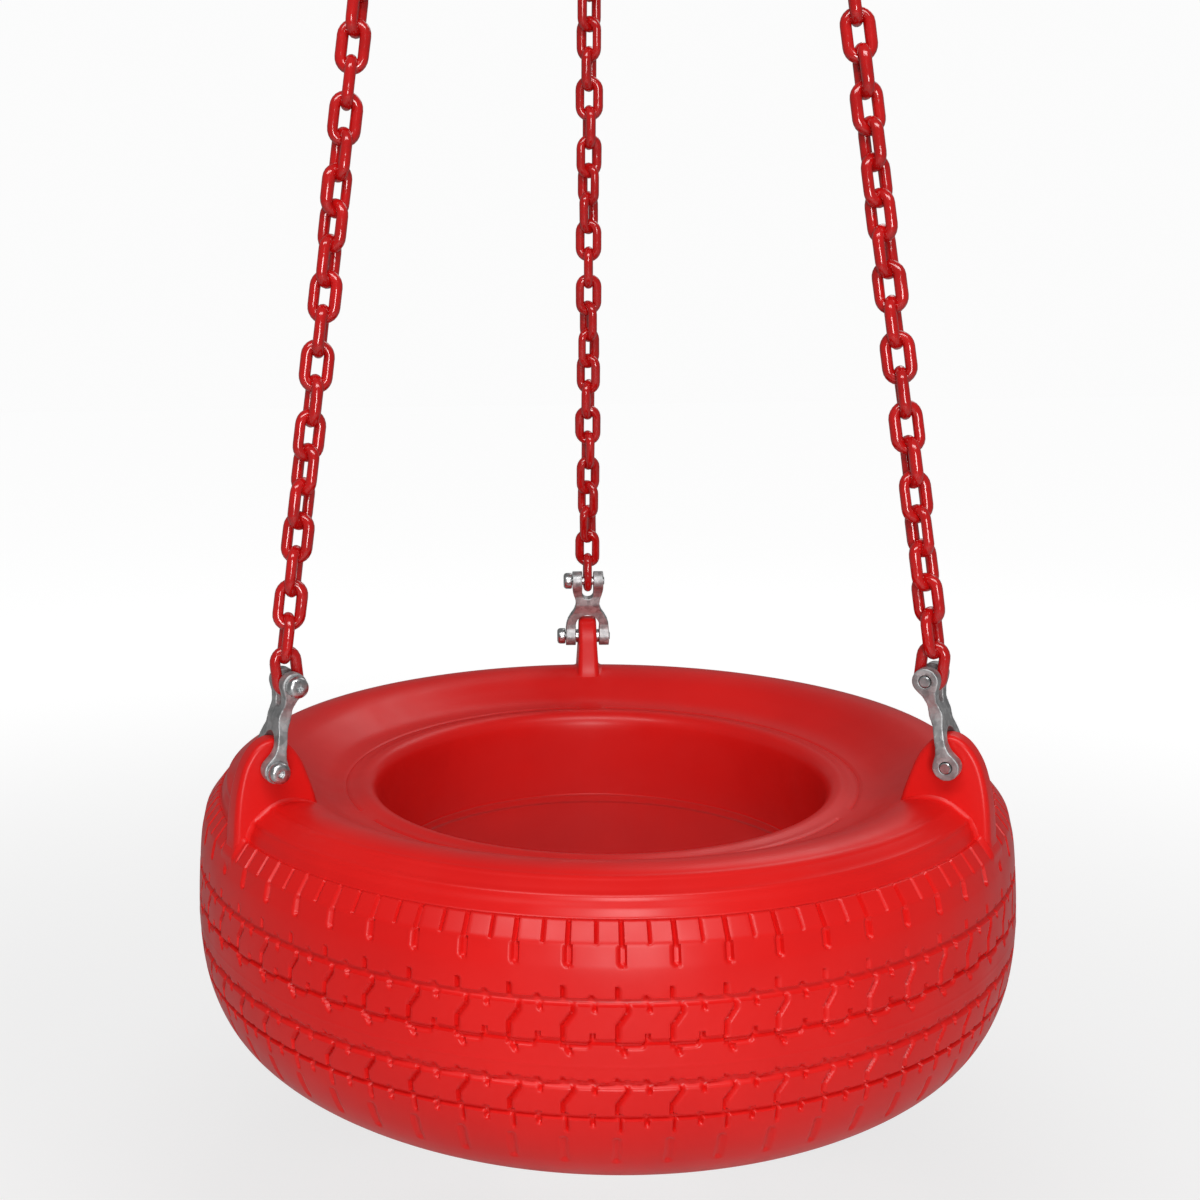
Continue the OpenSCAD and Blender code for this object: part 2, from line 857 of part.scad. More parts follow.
bottom_shackle(LUG_ANGLES[0]);  // bottom_shackle_rear
bottom_shackle(LUG_ANGLES[1]);  // bottom_shackle_left
bottom_shackle(LUG_ANGLES[2]);  // bottom_shackle_right
lug_pins();
lug_bushes();
tire_shell();
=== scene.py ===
"""Looks of the three-chain tire swing: moulded red seat, coated chains, galvanised shackles, swivel.

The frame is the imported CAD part, in metres. The seat, the chains, the shackles and their pins
are rebuilt here with finer shape, and the castings are softened copies of the CAD pieces. The
knuckle pins, nuts, bushes, washers and bearing are the CAD pieces with better materials.
"""
import functools
import json
import math

import bpy
import numpy as np
from mathutils import Matrix, Vector


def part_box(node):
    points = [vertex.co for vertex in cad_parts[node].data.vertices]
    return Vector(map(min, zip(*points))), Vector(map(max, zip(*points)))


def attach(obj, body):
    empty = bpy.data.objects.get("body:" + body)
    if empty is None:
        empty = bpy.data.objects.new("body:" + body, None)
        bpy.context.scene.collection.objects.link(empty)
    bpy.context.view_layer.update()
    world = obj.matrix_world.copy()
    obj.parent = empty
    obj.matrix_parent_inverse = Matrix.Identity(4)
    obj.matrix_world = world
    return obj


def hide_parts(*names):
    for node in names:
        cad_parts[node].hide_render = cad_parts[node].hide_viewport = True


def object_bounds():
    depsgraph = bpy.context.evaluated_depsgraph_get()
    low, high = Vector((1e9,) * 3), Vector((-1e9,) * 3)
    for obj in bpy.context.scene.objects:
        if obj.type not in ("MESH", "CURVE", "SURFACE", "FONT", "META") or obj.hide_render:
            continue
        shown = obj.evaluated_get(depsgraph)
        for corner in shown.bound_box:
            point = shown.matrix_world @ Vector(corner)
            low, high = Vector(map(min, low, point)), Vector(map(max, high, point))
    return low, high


MM = 0.001

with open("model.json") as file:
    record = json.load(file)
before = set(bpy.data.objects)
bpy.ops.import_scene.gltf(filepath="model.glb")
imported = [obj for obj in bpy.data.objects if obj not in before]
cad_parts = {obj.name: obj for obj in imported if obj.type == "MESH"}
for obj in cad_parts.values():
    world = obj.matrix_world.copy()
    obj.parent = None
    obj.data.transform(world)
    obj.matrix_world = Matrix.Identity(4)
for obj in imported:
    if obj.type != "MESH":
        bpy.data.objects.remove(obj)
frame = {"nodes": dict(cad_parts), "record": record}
cad_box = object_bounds()

# ---------------------------------------------------------------- driving dimensions, in mm
TREAD_R = 322.0          # largest radius of the tread
HOLE_R = 180.0           # radius of the hole at its rim
LUG_T = 17.0             # thickness of a lug at its top
LUG_PIN_R = 281.0        # distance of the lug pins from the axis
LUG_PIN_Z = 52.5         # height of the lug pins above the rim
SHACKLE_LEAN = math.radians(17.5)
FIRST_LINK_LEAN = math.radians(-5)
CHAIN_LEAN = math.radians(9.2)
LINKS = 54
LINK_PITCH = 24.1
LINK_FIRST = 8.15        # from the chain pin to the middle of the first link
SHACKLE_PITCH = 61.0
LUG_ANGLES = {"rear": 90.0, "left": 210.0, "right": 330.0}
HALF_TURNS = {"rear": 31, "left": 30, "right": 29}


def box_middle(node):
    low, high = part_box(node)
    return (Vector(low) + Vector(high)) / 2


# Height of the hole's rim in the frame, from the bushes in the lugs
RIM_Z = box_middle("lug_bushes").z / MM - LUG_PIN_Z


def up(lean):
    """Unit step up a line that leans towards the axis, in the plane of a lug."""
    return Vector((-math.sin(lean), 0, math.cos(lean)))


# Places along a lug's chain, with heights above the rim, from the lug up
LUG_PIN = Vector((LUG_PIN_R, 0, LUG_PIN_Z))
LOW_CHAIN_PIN = LUG_PIN + SHACKLE_PITCH * up(SHACKLE_LEAN)
FIRST_LINK = LOW_CHAIN_PIN + LINK_FIRST * up(FIRST_LINK_LEAN)
SECOND_LINK = FIRST_LINK + LINK_PITCH / 2 * (up(FIRST_LINK_LEAN) + up(CHAIN_LEAN))
HIGH_CHAIN_PIN = SECOND_LINK + ((LINKS - 2) * LINK_PITCH + LINK_FIRST) * up(CHAIN_LEAN)
EAR_PIN = HIGH_CHAIN_PIN + SHACKLE_PITCH * up(CHAIN_LEAN)


def at(angle, place, lean):
    """One of those places as a matrix: local Z is up the line and local Y is the pins' axis."""
    return (
        Matrix.Rotation(math.radians(angle), 4, "Z")
        @ Matrix.Translation((place + Vector((0, 0, RIM_Z))) * MM)
        @ Matrix.Rotation(-lean, 4, "Y")
    )


# ---------------------------------------------------------------- camera
EYE = Vector((-48.8, -1183.9, RIM_Z + 373.3))
YAW, PITCH, ROLL = 2.19, 10.97, -0.94    # to the left, down and about the line of sight
LENS_MM = 45.7
SENSOR_MM = 36.0
LENS_SHIFT = 0.1


def make_camera():
    """Stands in front of the seat, a little above its rim, and looks slightly down."""
    yaw, pitch, roll = (math.radians(a) for a in (YAW, PITCH, ROLL))
    ahead = Vector((-math.sin(yaw) * math.cos(pitch), math.cos(yaw) * math.cos(pitch),
                    -math.sin(pitch)))
    right = Vector((math.cos(yaw), math.sin(yaw), 0))
    above = right.cross(ahead)
    right, above = (math.cos(roll) * right + math.sin(roll) * above,
                    math.cos(roll) * above - math.sin(roll) * right)
    data = bpy.data.cameras.new("camera")
    data.lens = LENS_MM
    data.sensor_width = SENSOR_MM
    data.shift_x = LENS_SHIFT
    data.clip_start = 0.02
    data.clip_end = 60.0
    camera = bpy.data.objects.new("camera", data)
    turn = Matrix((right, above, -ahead)).transposed().to_4x4()
    camera.matrix_world = Matrix.Translation(EYE * MM) @ turn
    bpy.context.scene.collection.objects.link(camera)
    bpy.context.scene.camera = camera


# ---------------------------------------------------------------- materials
def node_material(name):
    material = bpy.data.materials.new(name)
    material.use_nodes = True
    nodes, links = material.node_tree.nodes, material.node_tree.links
    return material, nodes, links, nodes["Principled BSDF"]


def add_noise(nodes, links, scale, detail=2.0, rough=0.5):
    """Noise in object space, so that it lies still on the piece."""
    place = nodes.get("place") or nodes.new("ShaderNodeTexCoord")
    place.name = "place"
    noise = nodes.new("ShaderNodeTexNoise")
    noise.inputs["Scale"].default_value = scale
    noise.inputs["Detail"].default_value = detail
    noise.inputs["Roughness"].default_value = rough
    links.new(place.outputs["Object"], noise.inputs["Vector"])
    return noise


def add_ramp(nodes, links, source, stops):
    ramp = nodes.new("ShaderNodeValToRGB")
    ramp.color_ramp.elements[0].position, ramp.color_ramp.elements[0].color = stops[0]
    ramp.color_ramp.elements[1].position, ramp.color_ramp.elements[1].color = stops[-1]
    for position, colour in stops[1:-1]:
        ramp.color_ramp.elements.new(position).color = colour
    links.new(source, ramp.inputs["Fac"])
    return ramp


def add_bumps(nodes, links, shader, layers):
    """Chains bump nodes: each layer is (height output, strength, distance in metres)."""
    last = None
    for height, strength, distance in layers:
        bump = nodes.new("ShaderNodeBump")
        bump.inputs["Strength"].default_value = strength
        bump.inputs["Distance"].default_value = distance
        links.new(height, bump.inputs["Height"])
        if last:
            links.new(last.outputs["Normal"], bump.inputs["Normal"])
        last = bump
    links.new(last.outputs["Normal"], shader.inputs["Normal"])


def seat_material():
    """Rotationally moulded polyethylene: semi-gloss, faintly wavy and unevenly rubbed."""
    material, nodes, links, shader = node_material("seat_red")
    tone = add_noise(nodes, links, 9, 3)
    colour = add_ramp(nodes, links, tone.outputs["Fac"], [
        (0.30, (0.65, 0.007, 0.006, 1)), (0.72, (0.73, 0.010, 0.008, 1))])
    links.new(colour.outputs["Color"], shader.inputs["Base Color"])
    worn = add_noise(nodes, links, 30, 2)
    rough = add_ramp(nodes, links, worn.outputs["Fac"], [
        (0.35, (0.31, 0.31, 0.31, 1)), (0.75, (0.40, 0.40, 0.40, 1))])
    links.new(rough.outputs["Color"], shader.inputs["Roughness"])
    shader.inputs["Specular IOR Level"].default_value = 0.3
    wave = add_noise(nodes, links, 14, 1)
    add_bumps(nodes, links, shader, [(wave.outputs["Fac"], 0.35, 0.002)])
    return material


def chain_material():
    """Thick glossy plastisol with small sags and pits."""
    material, nodes, links, shader = node_material("chain_red")
    tone = add_noise(nodes, links, 40, 2)
    colour = add_ramp(nodes, links, tone.outputs["Fac"], [
        (0.3, (0.40, 0.003, 0.003, 1)), (0.7, (0.52, 0.005, 0.005, 1))])
    links.new(colour.outputs["Color"], shader.inputs["Base Color"])
    shader.inputs["Roughness"].default_value = 0.16
    shader.inputs["Coat Weight"].default_value = 0.35
    shader.inputs["Coat Roughness"].default_value = 0.08
    sag = add_noise(nodes, links, 160, 1)
    pit = add_noise(nodes, links, 700, 2)
    add_bumps(nodes, links, shader, [
        (sag.outputs["Fac"], 0.4, 0.0012), (pit.outputs["Fac"], 0.1, 0.0003)])
    return material


def galvanised_material():
    """Hot-dip zinc over forged or cast steel: grey patches, dull sheen, rough skin."""
    material, nodes, links, shader = node_material("galvanised")
    place = nodes.new("ShaderNodeTexCoord")
    place.name = "place"
    spangle = nodes.new("ShaderNodeTexVoronoi")
    spangle.inputs["Scale"].default_value = 260
    links.new(place.outputs["Object"], spangle.inputs["Vector"])
    cloud = add_noise(nodes, links, 120, 4, 0.6)
    mix = nodes.new("ShaderNodeMix")
    mix.inputs["Factor"].default_value = 0.35
    links.new(cloud.outputs["Fac"], mix.inputs["A"])
    links.new(spangle.outputs["Color"], mix.inputs["B"])
    colour = add_ramp(nodes, links, mix.outputs["Result"], [
        (0.25, (0.26, 0.262, 0.265, 1)), (0.75, (0.60, 0.602, 0.605, 1))])
    links.new(colour.outputs["Color"], shader.inputs["Base Color"])
    rough = add_ramp(nodes, links, cloud.outputs["Fac"], [
        (0.3, (0.40, 0.40, 0.40, 1)), (0.7, (0.60, 0.60, 0.60, 1))])
    links.new(rough.outputs["Color"], shader.inputs["Roughness"])
    shader.inputs["Metallic"].default_value = 0.8
    skin = add_noise(nodes, links, 900, 3)
    add_bumps(nodes, links, shader, [
        (cloud.outputs["Fac"], 0.35, 0.0006), (skin.outputs["Fac"], 0.2, 0.0002)])
    return material


def metal_material(name, dark, light, low_rough, high_rough, scale=300, metallic=1.0):
    """A plain metal with a faint patchy finish."""
    material, nodes, links, shader = node_material(name)
    patch = add_noise(nodes, links, scale, 3)
    colour = add_ramp(nodes, links, patch.outputs["Fac"], [
        (0.3, (*dark, 1)), (0.7, (*light, 1))])
    links.new(colour.outputs["Color"], shader.inputs["Base Color"])
    rough = add_ramp(nodes, links, patch.outputs["Fac"], [
        (0.3, (low_rough,) * 3 + (1,)), (0.7, (high_rough,) * 3 + (1,))])
    links.new(rough.outputs["Color"], shader.inputs["Roughness"])
    shader.inputs["Metallic"].default_value = metallic
    fine = add_noise(nodes, links, scale * 4, 2)
    add_bumps(nodes, links, shader, [(fine.outputs["Fac"], 0.15, 0.0002)])
    return material


MATERIALS = {
    "seat_red": seat_material(),
    "chain_red": chain_material(),
    "galvanised": galvanised_material(),
    "zinc": metal_material("zinc", (0.44, 0.445, 0.45), (0.64, 0.645, 0.65), 0.24, 0.38),
    "bronze": metal_material("bronze", (0.42, 0.26, 0.10), (0.58, 0.38, 0.17), 0.3, 0.45),
    "bearing_steel": metal_material(
        "bearing_steel", (0.62, 0.63, 0.64), (0.72, 0.73, 0.74), 0.10, 0.16),
    "nylon": metal_material(
        "nylon", (0.78, 0.77, 0.72), (0.86, 0.85, 0.80), 0.4, 0.5, metallic=0.0),
    "seal_rubber": metal_material(
        "seal_rubber", (0.018, 0.018, 0.018), (0.035, 0.035, 0.035), 0.5, 0.65, metallic=0.0),
}


# ---------------------------------------------------------------- mesh helpers
def new_piece(name, points, faces, body, slot):
    """A mesh piece in metres that rides on a body and takes a slot's material."""
    mesh = bpy.data.meshes.new(name)
    mesh.from_pydata(points, [], faces)
    mesh.update()
    piece = bpy.data.objects.new(name, mesh)
    bpy.context.scene.collection.objects.link(piece)
    mesh.materials.append(MATERIALS[slot])
    mesh.shade_smooth()
    if body:
        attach(piece, body)
    return piece


def apply_modifiers(piece):
    """Bakes the modifiers into the mesh."""
    graph = bpy.context.evaluated_depsgraph_get()
    baked = bpy.data.meshes.new_from_object(piece.evaluated_get(graph), depsgraph=graph)
    old = piece.data
    piece.modifiers.clear()
    piece.data = baked
    bpy.data.meshes.remove(old)


def combine(piece, tool, operation):
    """Joins a tool to a closed piece, or cuts it away, then removes the tool."""
    step = piece.modifiers.new("combine", "BOOLEAN")
    step.operation = operation
    step.object = tool
    step.solver = "MANIFOLD"
    apply_modifiers(piece)
    bpy.data.objects.remove(tool)


def smooth_curve(points, steps):
    """The closed smooth curve through a list of points."""
    p = np.array(points, float)
    before, after, beyond = np.roll(p, 1, 0), np.roll(p, -1, 0), np.roll(p, -2, 0)
    out = []
    for t in np.arange(steps) / steps:
        out.append(0.5 * (2 * p + (after - before) * t
                          + (2 * before - 5 * p + 4 * after - beyond) * t ** 2
                          + (3 * p - before - 3 * after + beyond) * t ** 3))
    return np.stack(out, 1).reshape(-1, 2)


def outward(curve):
    """Unit normals of a closed curve listed clockwise."""
    along = np.roll(curve, -1, 0) - np.roll(curve, 1, 0)
    along /= np.linalg.norm(along, axis=1)[:, None]
    return np.stack([-along[:, 1], along[:, 0]], 1)


def step_up(value, low, high):
    """Smooth step from 0 at low to 1 at high."""
    t = np.clip((value - low) / (high - low), 0, 1)
    return t * t * (3 - 2 * t)


# ---------------------------------------------------------------- seat
# Section of the seat as radius and height above the rim, as in the CAD model
SEAT_LINE = [
    (HOLE_R - 2.5, -84), (HOLE_R - 1.5, -40), (HOLE_R - 1.2, -12), (HOLE_R + 1.5, -2.5),
    (HOLE_R + 9, 1.8), (HOLE_R + 18, 0.5), (HOLE_R + 28, 0.5), (HOLE_R + 40, 3.5),
    (HOLE_R + 54, 11.5), (HOLE_R + 68, 20), (HOLE_R + 82, 24.8), (HOLE_R + 95, 25),
    (TREAD_R - 37, 21.5), (TREAD_R - 26, 14), (TREAD_R - 16, 3.5), (TREAD_R - 9, -8),
    (TREAD_R - 5, -23), (TREAD_R - 2.7, -42), (TREAD_R - 0.7, -68), (TREAD_R, -88),
    (TREAD_R - 0.5, -106), (TREAD_R - 2.5, -124), (TREAD_R - 6, -139), (TREAD_R - 11.5, -153),
    (TREAD_R - 19, -165), (TREAD_R - 29.5, -175.5), (TREAD_R - 43, -184.5),
    (TREAD_R - 59, -191), (HOLE_R + 68, -193), (HOLE_R + 54, -187.5), (HOLE_R + 40, -175.5),
    (HOLE_R + 28, -168.5), (HOLE_R + 18, -168.5), (HOLE_R + 9, -169.8),
    (HOLE_R + 1.5, -165.5), (HOLE_R - 1.2, -156), (HOLE_R - 1.5, -128),
]
LUG_LINE = [
    (246, 8), (247.5, 24), (252, 40), (258.5, 57), (268, 68.5), (280, 72.5), (291, 67.5),
    (300, 55.5), (305.5, 40), (309, 22), (311, 2), (311, -10), (296, -14), (268, -8),
]
PITCHES = 60             # tread pitches round the seat
PITCH_MM = 2 * math.pi * TREAD_R / PITCHES
COLUMNS = 26             # mesh columns in each pitch
TREAD_STEP = 1.1         # row spacing on the tread
TREAD_PHASE = 0.1        # where the first cross slot stands, as a share of a pitch
FILLET = 3.5             # radius between a lug and the seat
LUG_EDGE = 4.0           # radius of a lug's edges
SLOT_DEPTH = 3.0         # long slots through the shoulder
SIPE_DEPTH = 2.0         # short slots between them
GROOVE_DEPTH = 2.7       # ring grooves and the slots of the two bands
LOWER_DEPTH = 1.6        # slots at the tread's lower edge
BUSH_R = 6.55            # bore for a lug's bush
DRAIN_R = 5.0            # drain holes under the seat
DISH_R = HOLE_R + 68     # distance of the drain holes from the axis


# The shoulder in steps: a steep wall, a ledge, the blocks' slanted tops and the tread's edge
SHOULDER_LINE = [
    (TREAD_R - 26, 14), (TREAD_R - 22.5, 8), (TREAD_R - 20.8, 2.9), (TREAD_R - 20.2, 1.6),
    (TREAD_R - 18.6, 2.5), (TREAD_R - 17.4, 2.2), (TREAD_R - 8.9, -8.4), (TREAD_R - 8.1, -10),
    (TREAD_R - 5, -23),
]


def with_shoulder(curve):
    """Puts the stepped shoulder in place of the curve's smooth one."""
    order = np.argmin(np.linalg.norm(curve - SHOULDER_LINE[0], axis=1))
    end = np.argmin(np.linalg.norm(curve - SHOULDER_LINE[-1], axis=1))
    line = np.array(SHOULDER_LINE)
    length = np.r_[0, np.cumsum(np.linalg.norm(np.diff(line, axis=0), axis=1))]
    spots = np.arange(0, length[-1], 0.1)
    steps = np.stack([np.interp(spots, length, line[:, i]) for i in (0, 1)], 1)
    return np.concatenate([curve[:order], steps, curve[end:]])


def section_rows():
    """Points of the section: close together on the tread, wider apart elsewhere."""
    dense = with_shoulder(smooth_curve(SEAT_LINE, 120))
    length = np.r_[0, np.cumsum(np.linalg.norm(np.diff(dense, axis=0), axis=1))]
    spots = [0.0]
    while spots[-1] < length[-1]:
        radius, z = dense[np.searchsorted(length, spots[-1])]
        if radius < HOLE_R + 0.5:
            step = 0.8 if -90 < z < -70 else 5.0
        elif radius > TREAD_R - 27 and z > -160:
            step = TREAD_STEP
        elif z > -60:
            step = 1.8
        else:
            step = 4.0
        spots.append(spots[-1] + step)
    spots = np.array(spots[:-1])
    rows = np.stack([np.interp(spots, length, dense[:, i]) for i in (0, 1)], 1)
    return rows, outward(rows)


def bead(value, middle, half, soft):
    """1 inside a strip round a middle, falling to 0 over a soft edge."""
    return step_up(half + soft / 2 - np.abs(value - middle), 0, soft)


def capsule(s, z, s0, z0, s1, z1, half, soft=1.1):
    """1 inside a slot with round ends between two points, 0 outside."""
    along_s, along_z = s1 - s0, z1 - z0
    share = ((s - s0) * along_s + (z - z0) * along_z) / (along_s ** 2 + along_z ** 2)
    share = np.clip(share, 0, 1)
    away = np.hypot(s - s0 - share * along_s, z - z0 - share * along_z)
    return step_up(half + soft / 2 - away, 0, soft)


def deepest(cuts):
    """The greatest of several cuts at each place."""
    return functools.reduce(np.maximum, cuts)


def wrapped(u, middle):
    """Distance round the tread from a place in the pitch, in mm."""
    return ((u - middle + 0.5) % 1.0 - 0.5) * PITCH_MM


def shoulder_slots(u, z):
    """Long drop-shaped slots through the shoulder blocks, with a short sipe between."""
    at = wrapped(u, -0.07)
    block = capsule(at, z, 0, 9, 0, -10, 1.2)
    drop = capsule(at, z, 0, -12, 0, -20.5, 2.2, 1.6)
    sipe = capsule(wrapped(u, 0.44), z, 0, 9, 0, -8.5, 0.9)
    return SLOT_DEPTH * np.maximum(block, drop) + SIPE_DEPTH * sipe * (1 - block)


def tread_band(u, z, top, bottom, wavy):
    """A band of blocks between two ring grooves, cut by S-shaped slots."""
    edge = 1.4
    high = top + 2.0 + wavy * 1.2 * np.cos(2 * math.pi * (u - 0.02)) ** 3
    groove = step_up(high + edge / 2 - z, 0, edge) * step_up(z - (top - 2.0) + edge / 2, 0, edge)
    spike = capsule(wrapped(u, -0.17), z, 0, top, 0, top + 8.5 - 5 * wavy, 1.1)
    bump = capsule(wrapped(u, 0.36), z, 0, top, 0, top + 2.8, 1.3)
    notch = capsule(wrapped(u, 0.43), z, 0, top, 0, top - 5.0, 1.1)
    middle = (top + bottom) / 2
    slot = deepest([
        capsule(wrapped(u, 0.02), z, 0, top, 0, middle + 5, 1.1),
        capsule(wrapped(u, 0.02), z, 0, middle + 5, -0.19 * PITCH_MM, middle - 4, 1.1),
        capsule(wrapped(u, -0.17), z, 0, middle - 4, 0, bottom, 1.1)])
    return deepest([groove, spike, bump, notch, slot])


def stepped_groove(u, z, top):
    """The ring groove under the upper band: it steps down and up again in each pitch."""
    down = step_up(wrapped(u, 0.06), -0.27 * PITCH_MM, -0.24 * PITCH_MM)
    down *= 1 - step_up(wrapped(u, 0.06), 0.25 * PITCH_MM, 0.28 * PITCH_MM)
    groove = bead(z, top - 2.0 - 2.6 * down, 1.5, 1.1)
    tooth = capsule(wrapped(u, -0.06), z, -1.8, top - 4.5, 1.0, top - 9.5, 1.4)
    bump = capsule(wrapped(u, 0.38), z, 0, top - 2.0, 0, top + 2.0, 1.2)
    return deepest([groove, tooth, bump])


def toothed_groove(u, z, top):
    """The ring groove under the lower band, with a long and a short tooth in each pitch."""
    edge = 1.0
    groove = step_up(top + edge / 2 - z, 0, edge) * step_up(z - top + 3.0 + edge / 2, 0, edge)
    long_tooth = capsule(wrapped(u, -0.10), z, 0, top, 0, top - 11.5, 1.0)
    short_tooth = capsule(wrapped(u, 0.39), z, 0, top, 0, top - 7.0, 1.2)
    return deepest([groove, long_tooth, short_tooth])


def tread_depth(u, z):
    """Depth of the tread's slots and grooves below its surface, in mm."""
    cuts = deepest([
        tread_band(u, z, -44.7, -68.0, 0.0), stepped_groove(u, z, -67.6),
        tread_band(u, z, -98.3, -118.0, 1.0), toothed_groove(u, z, -119.6)])
    lower = capsule(wrapped(u, -0.17), z, 0, -139, 0, -156, 2.0, 2.5)
    return shoulder_slots(u, z) + GROOVE_DEPTH * cuts + LOWER_DEPTH * lower


def ring_relief(rows):
    """Height of the rings round the seat: rim groove, ridges and the mould's parting lines."""
    radius, z = rows[:, 0], rows[:, 1]
    top, tread = z > -30, radius > TREAD_R - 8
    relief = -1.3 * bead(radius, HOLE_R + 24, 0.5, 1.8) * top
    relief += 0.9 * bead(radius, TREAD_R - 38, 0.5, 2.4) * top
    relief += 1.3 * bead(radius, TREAD_R - 26.5, 0.7, 2.6) * top
    relief += 0.4 * bead(z, -85.7, 0.3, 1.2) * tread
    lower = 1 - step_up(z, -84.5, -82.5)
    relief -= 1.2 * lower * (radius < HOLE_R) * step_up(z, -154, -130)
    relief += 0.6 * bead(z, -76.0, 0.4, 1.6) * (radius < HOLE_R)
    return relief


def lug_fillets(radius, z, theta):
    """How far the seat's skin rises towards each lug's faces, in mm."""
    rise = 0.0
    for angle in LUG_ANGLES.values():
        across = radius * np.sin(theta - math.radians(angle))
        near = np.cos(theta - math.radians(angle)) > 0
        gap = np.clip(np.abs(across) - lug_half_thickness(z), 0, FILLET)
        curve = FILLET - np.sqrt(np.maximum(FILLET ** 2 - (FILLET - gap) ** 2, 0))
        rise = rise + curve * near
    span = step_up(radius, 243, 266) * step_up(z, -16, 2)
    return np.minimum(rise, FILLET * 0.8) * span


def lug_half_thickness(z):
    """Half the lug's thickness: it grows a little towards its root."""
    return LUG_T / 2 * (1 + 0.28 * (1 - step_up(z, 5, 60)))


def clear_of_lugs(radius, z, theta):
    """0 under each lug's outer edge, where the tread stays plain, and 1 elsewhere."""
    clear = 1.0
    for angle in LUG_ANGLES.values():
        away = np.abs((radius * np.sin(theta - math.radians(angle))))
        facing = np.cos(theta - math.radians(angle)) > 0
        under = 1 - step_up(away, LUG_T / 2 + 2, LUG_T / 2 + 5)
        clear = clear * (1 - under * facing * step_up(z, -24, -14))
    return clear


def seat_skin():
    """The ring: a fine grid of the section swept round, moved in and out by the tread."""
    rows, normals = section_rows()
    count = PITCHES * COLUMNS
    theta = np.arange(count) * 2 * math.pi / count
    u = np.arange(count) / COLUMNS - TREAD_PHASE
    radius, z = rows[:, :1], rows[:, 1:]
    on_tread = step_up(radius, TREAD_R - 20, TREAD_R - 17)
    relief = ring_relief(rows)[:, None] - tread_depth(u[None, :], z) * on_tread
    relief = relief * clear_of_lugs(radius, z, theta) + lug_fillets(radius, z, theta[None, :])
    out_r = radius + relief * normals[:, :1]
    out_z = z + relief * normals[:, 1:] + RIM_Z
    grid = np.stack([out_r * np.cos(theta), out_r * np.sin(theta),
                     np.broadcast_to(out_z, out_r.shape)], -1)
    n = len(rows)
    index = np.arange(n * count).reshape(n, count)
    a, b = index, np.roll(index, -1, 1)
    c, d = np.roll(b, -1, 0), np.roll(a, -1, 0)
    faces = np.stack([a, b, c, d], -1).reshape(-1, 4)
    return grid.reshape(-1, 3) * MM, faces


def lug_solid(angle):
    """A lug: a plate with round edges, a little thicker at its root."""
    outline = smooth_curve(LUG_LINE, 10)
    normals = outward(outline)
    edge = LUG_EDGE
    rings = []
    half = LUG_T / 2
    bends = np.radians(np.linspace(90, 0, 7))
    offsets = [(half - edge + edge * math.sin(b), edge * (1 - math.cos(b))) for b in bends]
    offsets += [(-t, inset) for t, inset in reversed(offsets)]
    for across, inset in offsets:
        line = outline - normals * inset
        spread = across / half * lug_half_thickness(line[:, 1])
        rings.append(np.stack([line[:, 0], spread, line[:, 1] + RIM_Z], 1))
    n = len(outline)
    points = np.concatenate(rings)
    turn = math.radians(angle)
    x, y = points[:, 0].copy(), points[:, 1].copy()
    points[:, 0] = x * math.cos(turn) - y * math.sin(turn)
    points[:, 1] = x * math.sin(turn) + y * math.cos(turn)
    faces = [list(range(n))]
    for k in range(len(rings) - 1):
        for i in range(n):
            j = (i + 1) % n
            faces.append([k * n + i, (k + 1) * n + i, (k + 1) * n + j, k * n + j])
    faces.append([(len(rings) - 1) * n + i for i in reversed(range(n))])
    return new_piece("lug", (points * MM).tolist(), faces, None, "seat_red")


def rod(name, radius, length, place):
    """A closed cylinder along a place's Z, centred, as a cutting tool."""
    count = 48
    ring = [(radius * math.cos(a), radius * math.sin(a))
            for a in np.arange(count) * 2 * math.pi / count]
    points = [place @ Vector((x * MM, y * MM, h * length / 2 * MM)) for h in (-1, 1)
              for x, y in ring]
    faces = [list(reversed(range(count))), [count + i for i in range(count)]]
    faces += [[i, (i + 1) % count, count + (i + 1) % count, count + i] for i in range(count)]
    return new_piece(name, points, faces, None, "seat_red")


def make_seat():
    points, faces = seat_skin()
    seat = new_piece("seat_shell", points, faces, "seat", "seat_red")
    for angle in LUG_ANGLES.values():
        combine(seat, lug_solid(angle), "UNION")
    for angle in LUG_ANGLES.values():
        across = at(angle, LUG_PIN, 0) @ Matrix.Rotation(math.pi / 2, 4, "X")
        combine(seat, rod("bore", BUSH_R, 40, across), "DIFFERENCE")
        turn = math.radians(angle + 60)
        drain = Matrix.Translation(Vector((
            DISH_R * math.cos(turn), DISH_R * math.sin(turn), RIM_Z - 195)) * MM)
        combine(seat, rod("drain", DRAIN_R, 24, drain), "DIFFERENCE")
    seat.data.shade_smooth()
    seat.data.set_sharp_from_angle(angle=math.radians(50))
    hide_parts("tire_shell")


# ---------------------------------------------------------------- chains
BAR_R = 4.05             # coated bar
LINK_BEND = 7.85         # bend radius of the bar's middle line
LINK_HALF = 14.8         # half the link's length along the bar's middle line
BEND_STEPS = 13          # places along each bend
BAR_SIDES = 14           # places round the bar
COAT_SWELL = 0.035       # unevenness of the coat, as a share of the bar's radius
CHAIN_SEEDS = {"rear": 3, "left": 5, "right": 7}


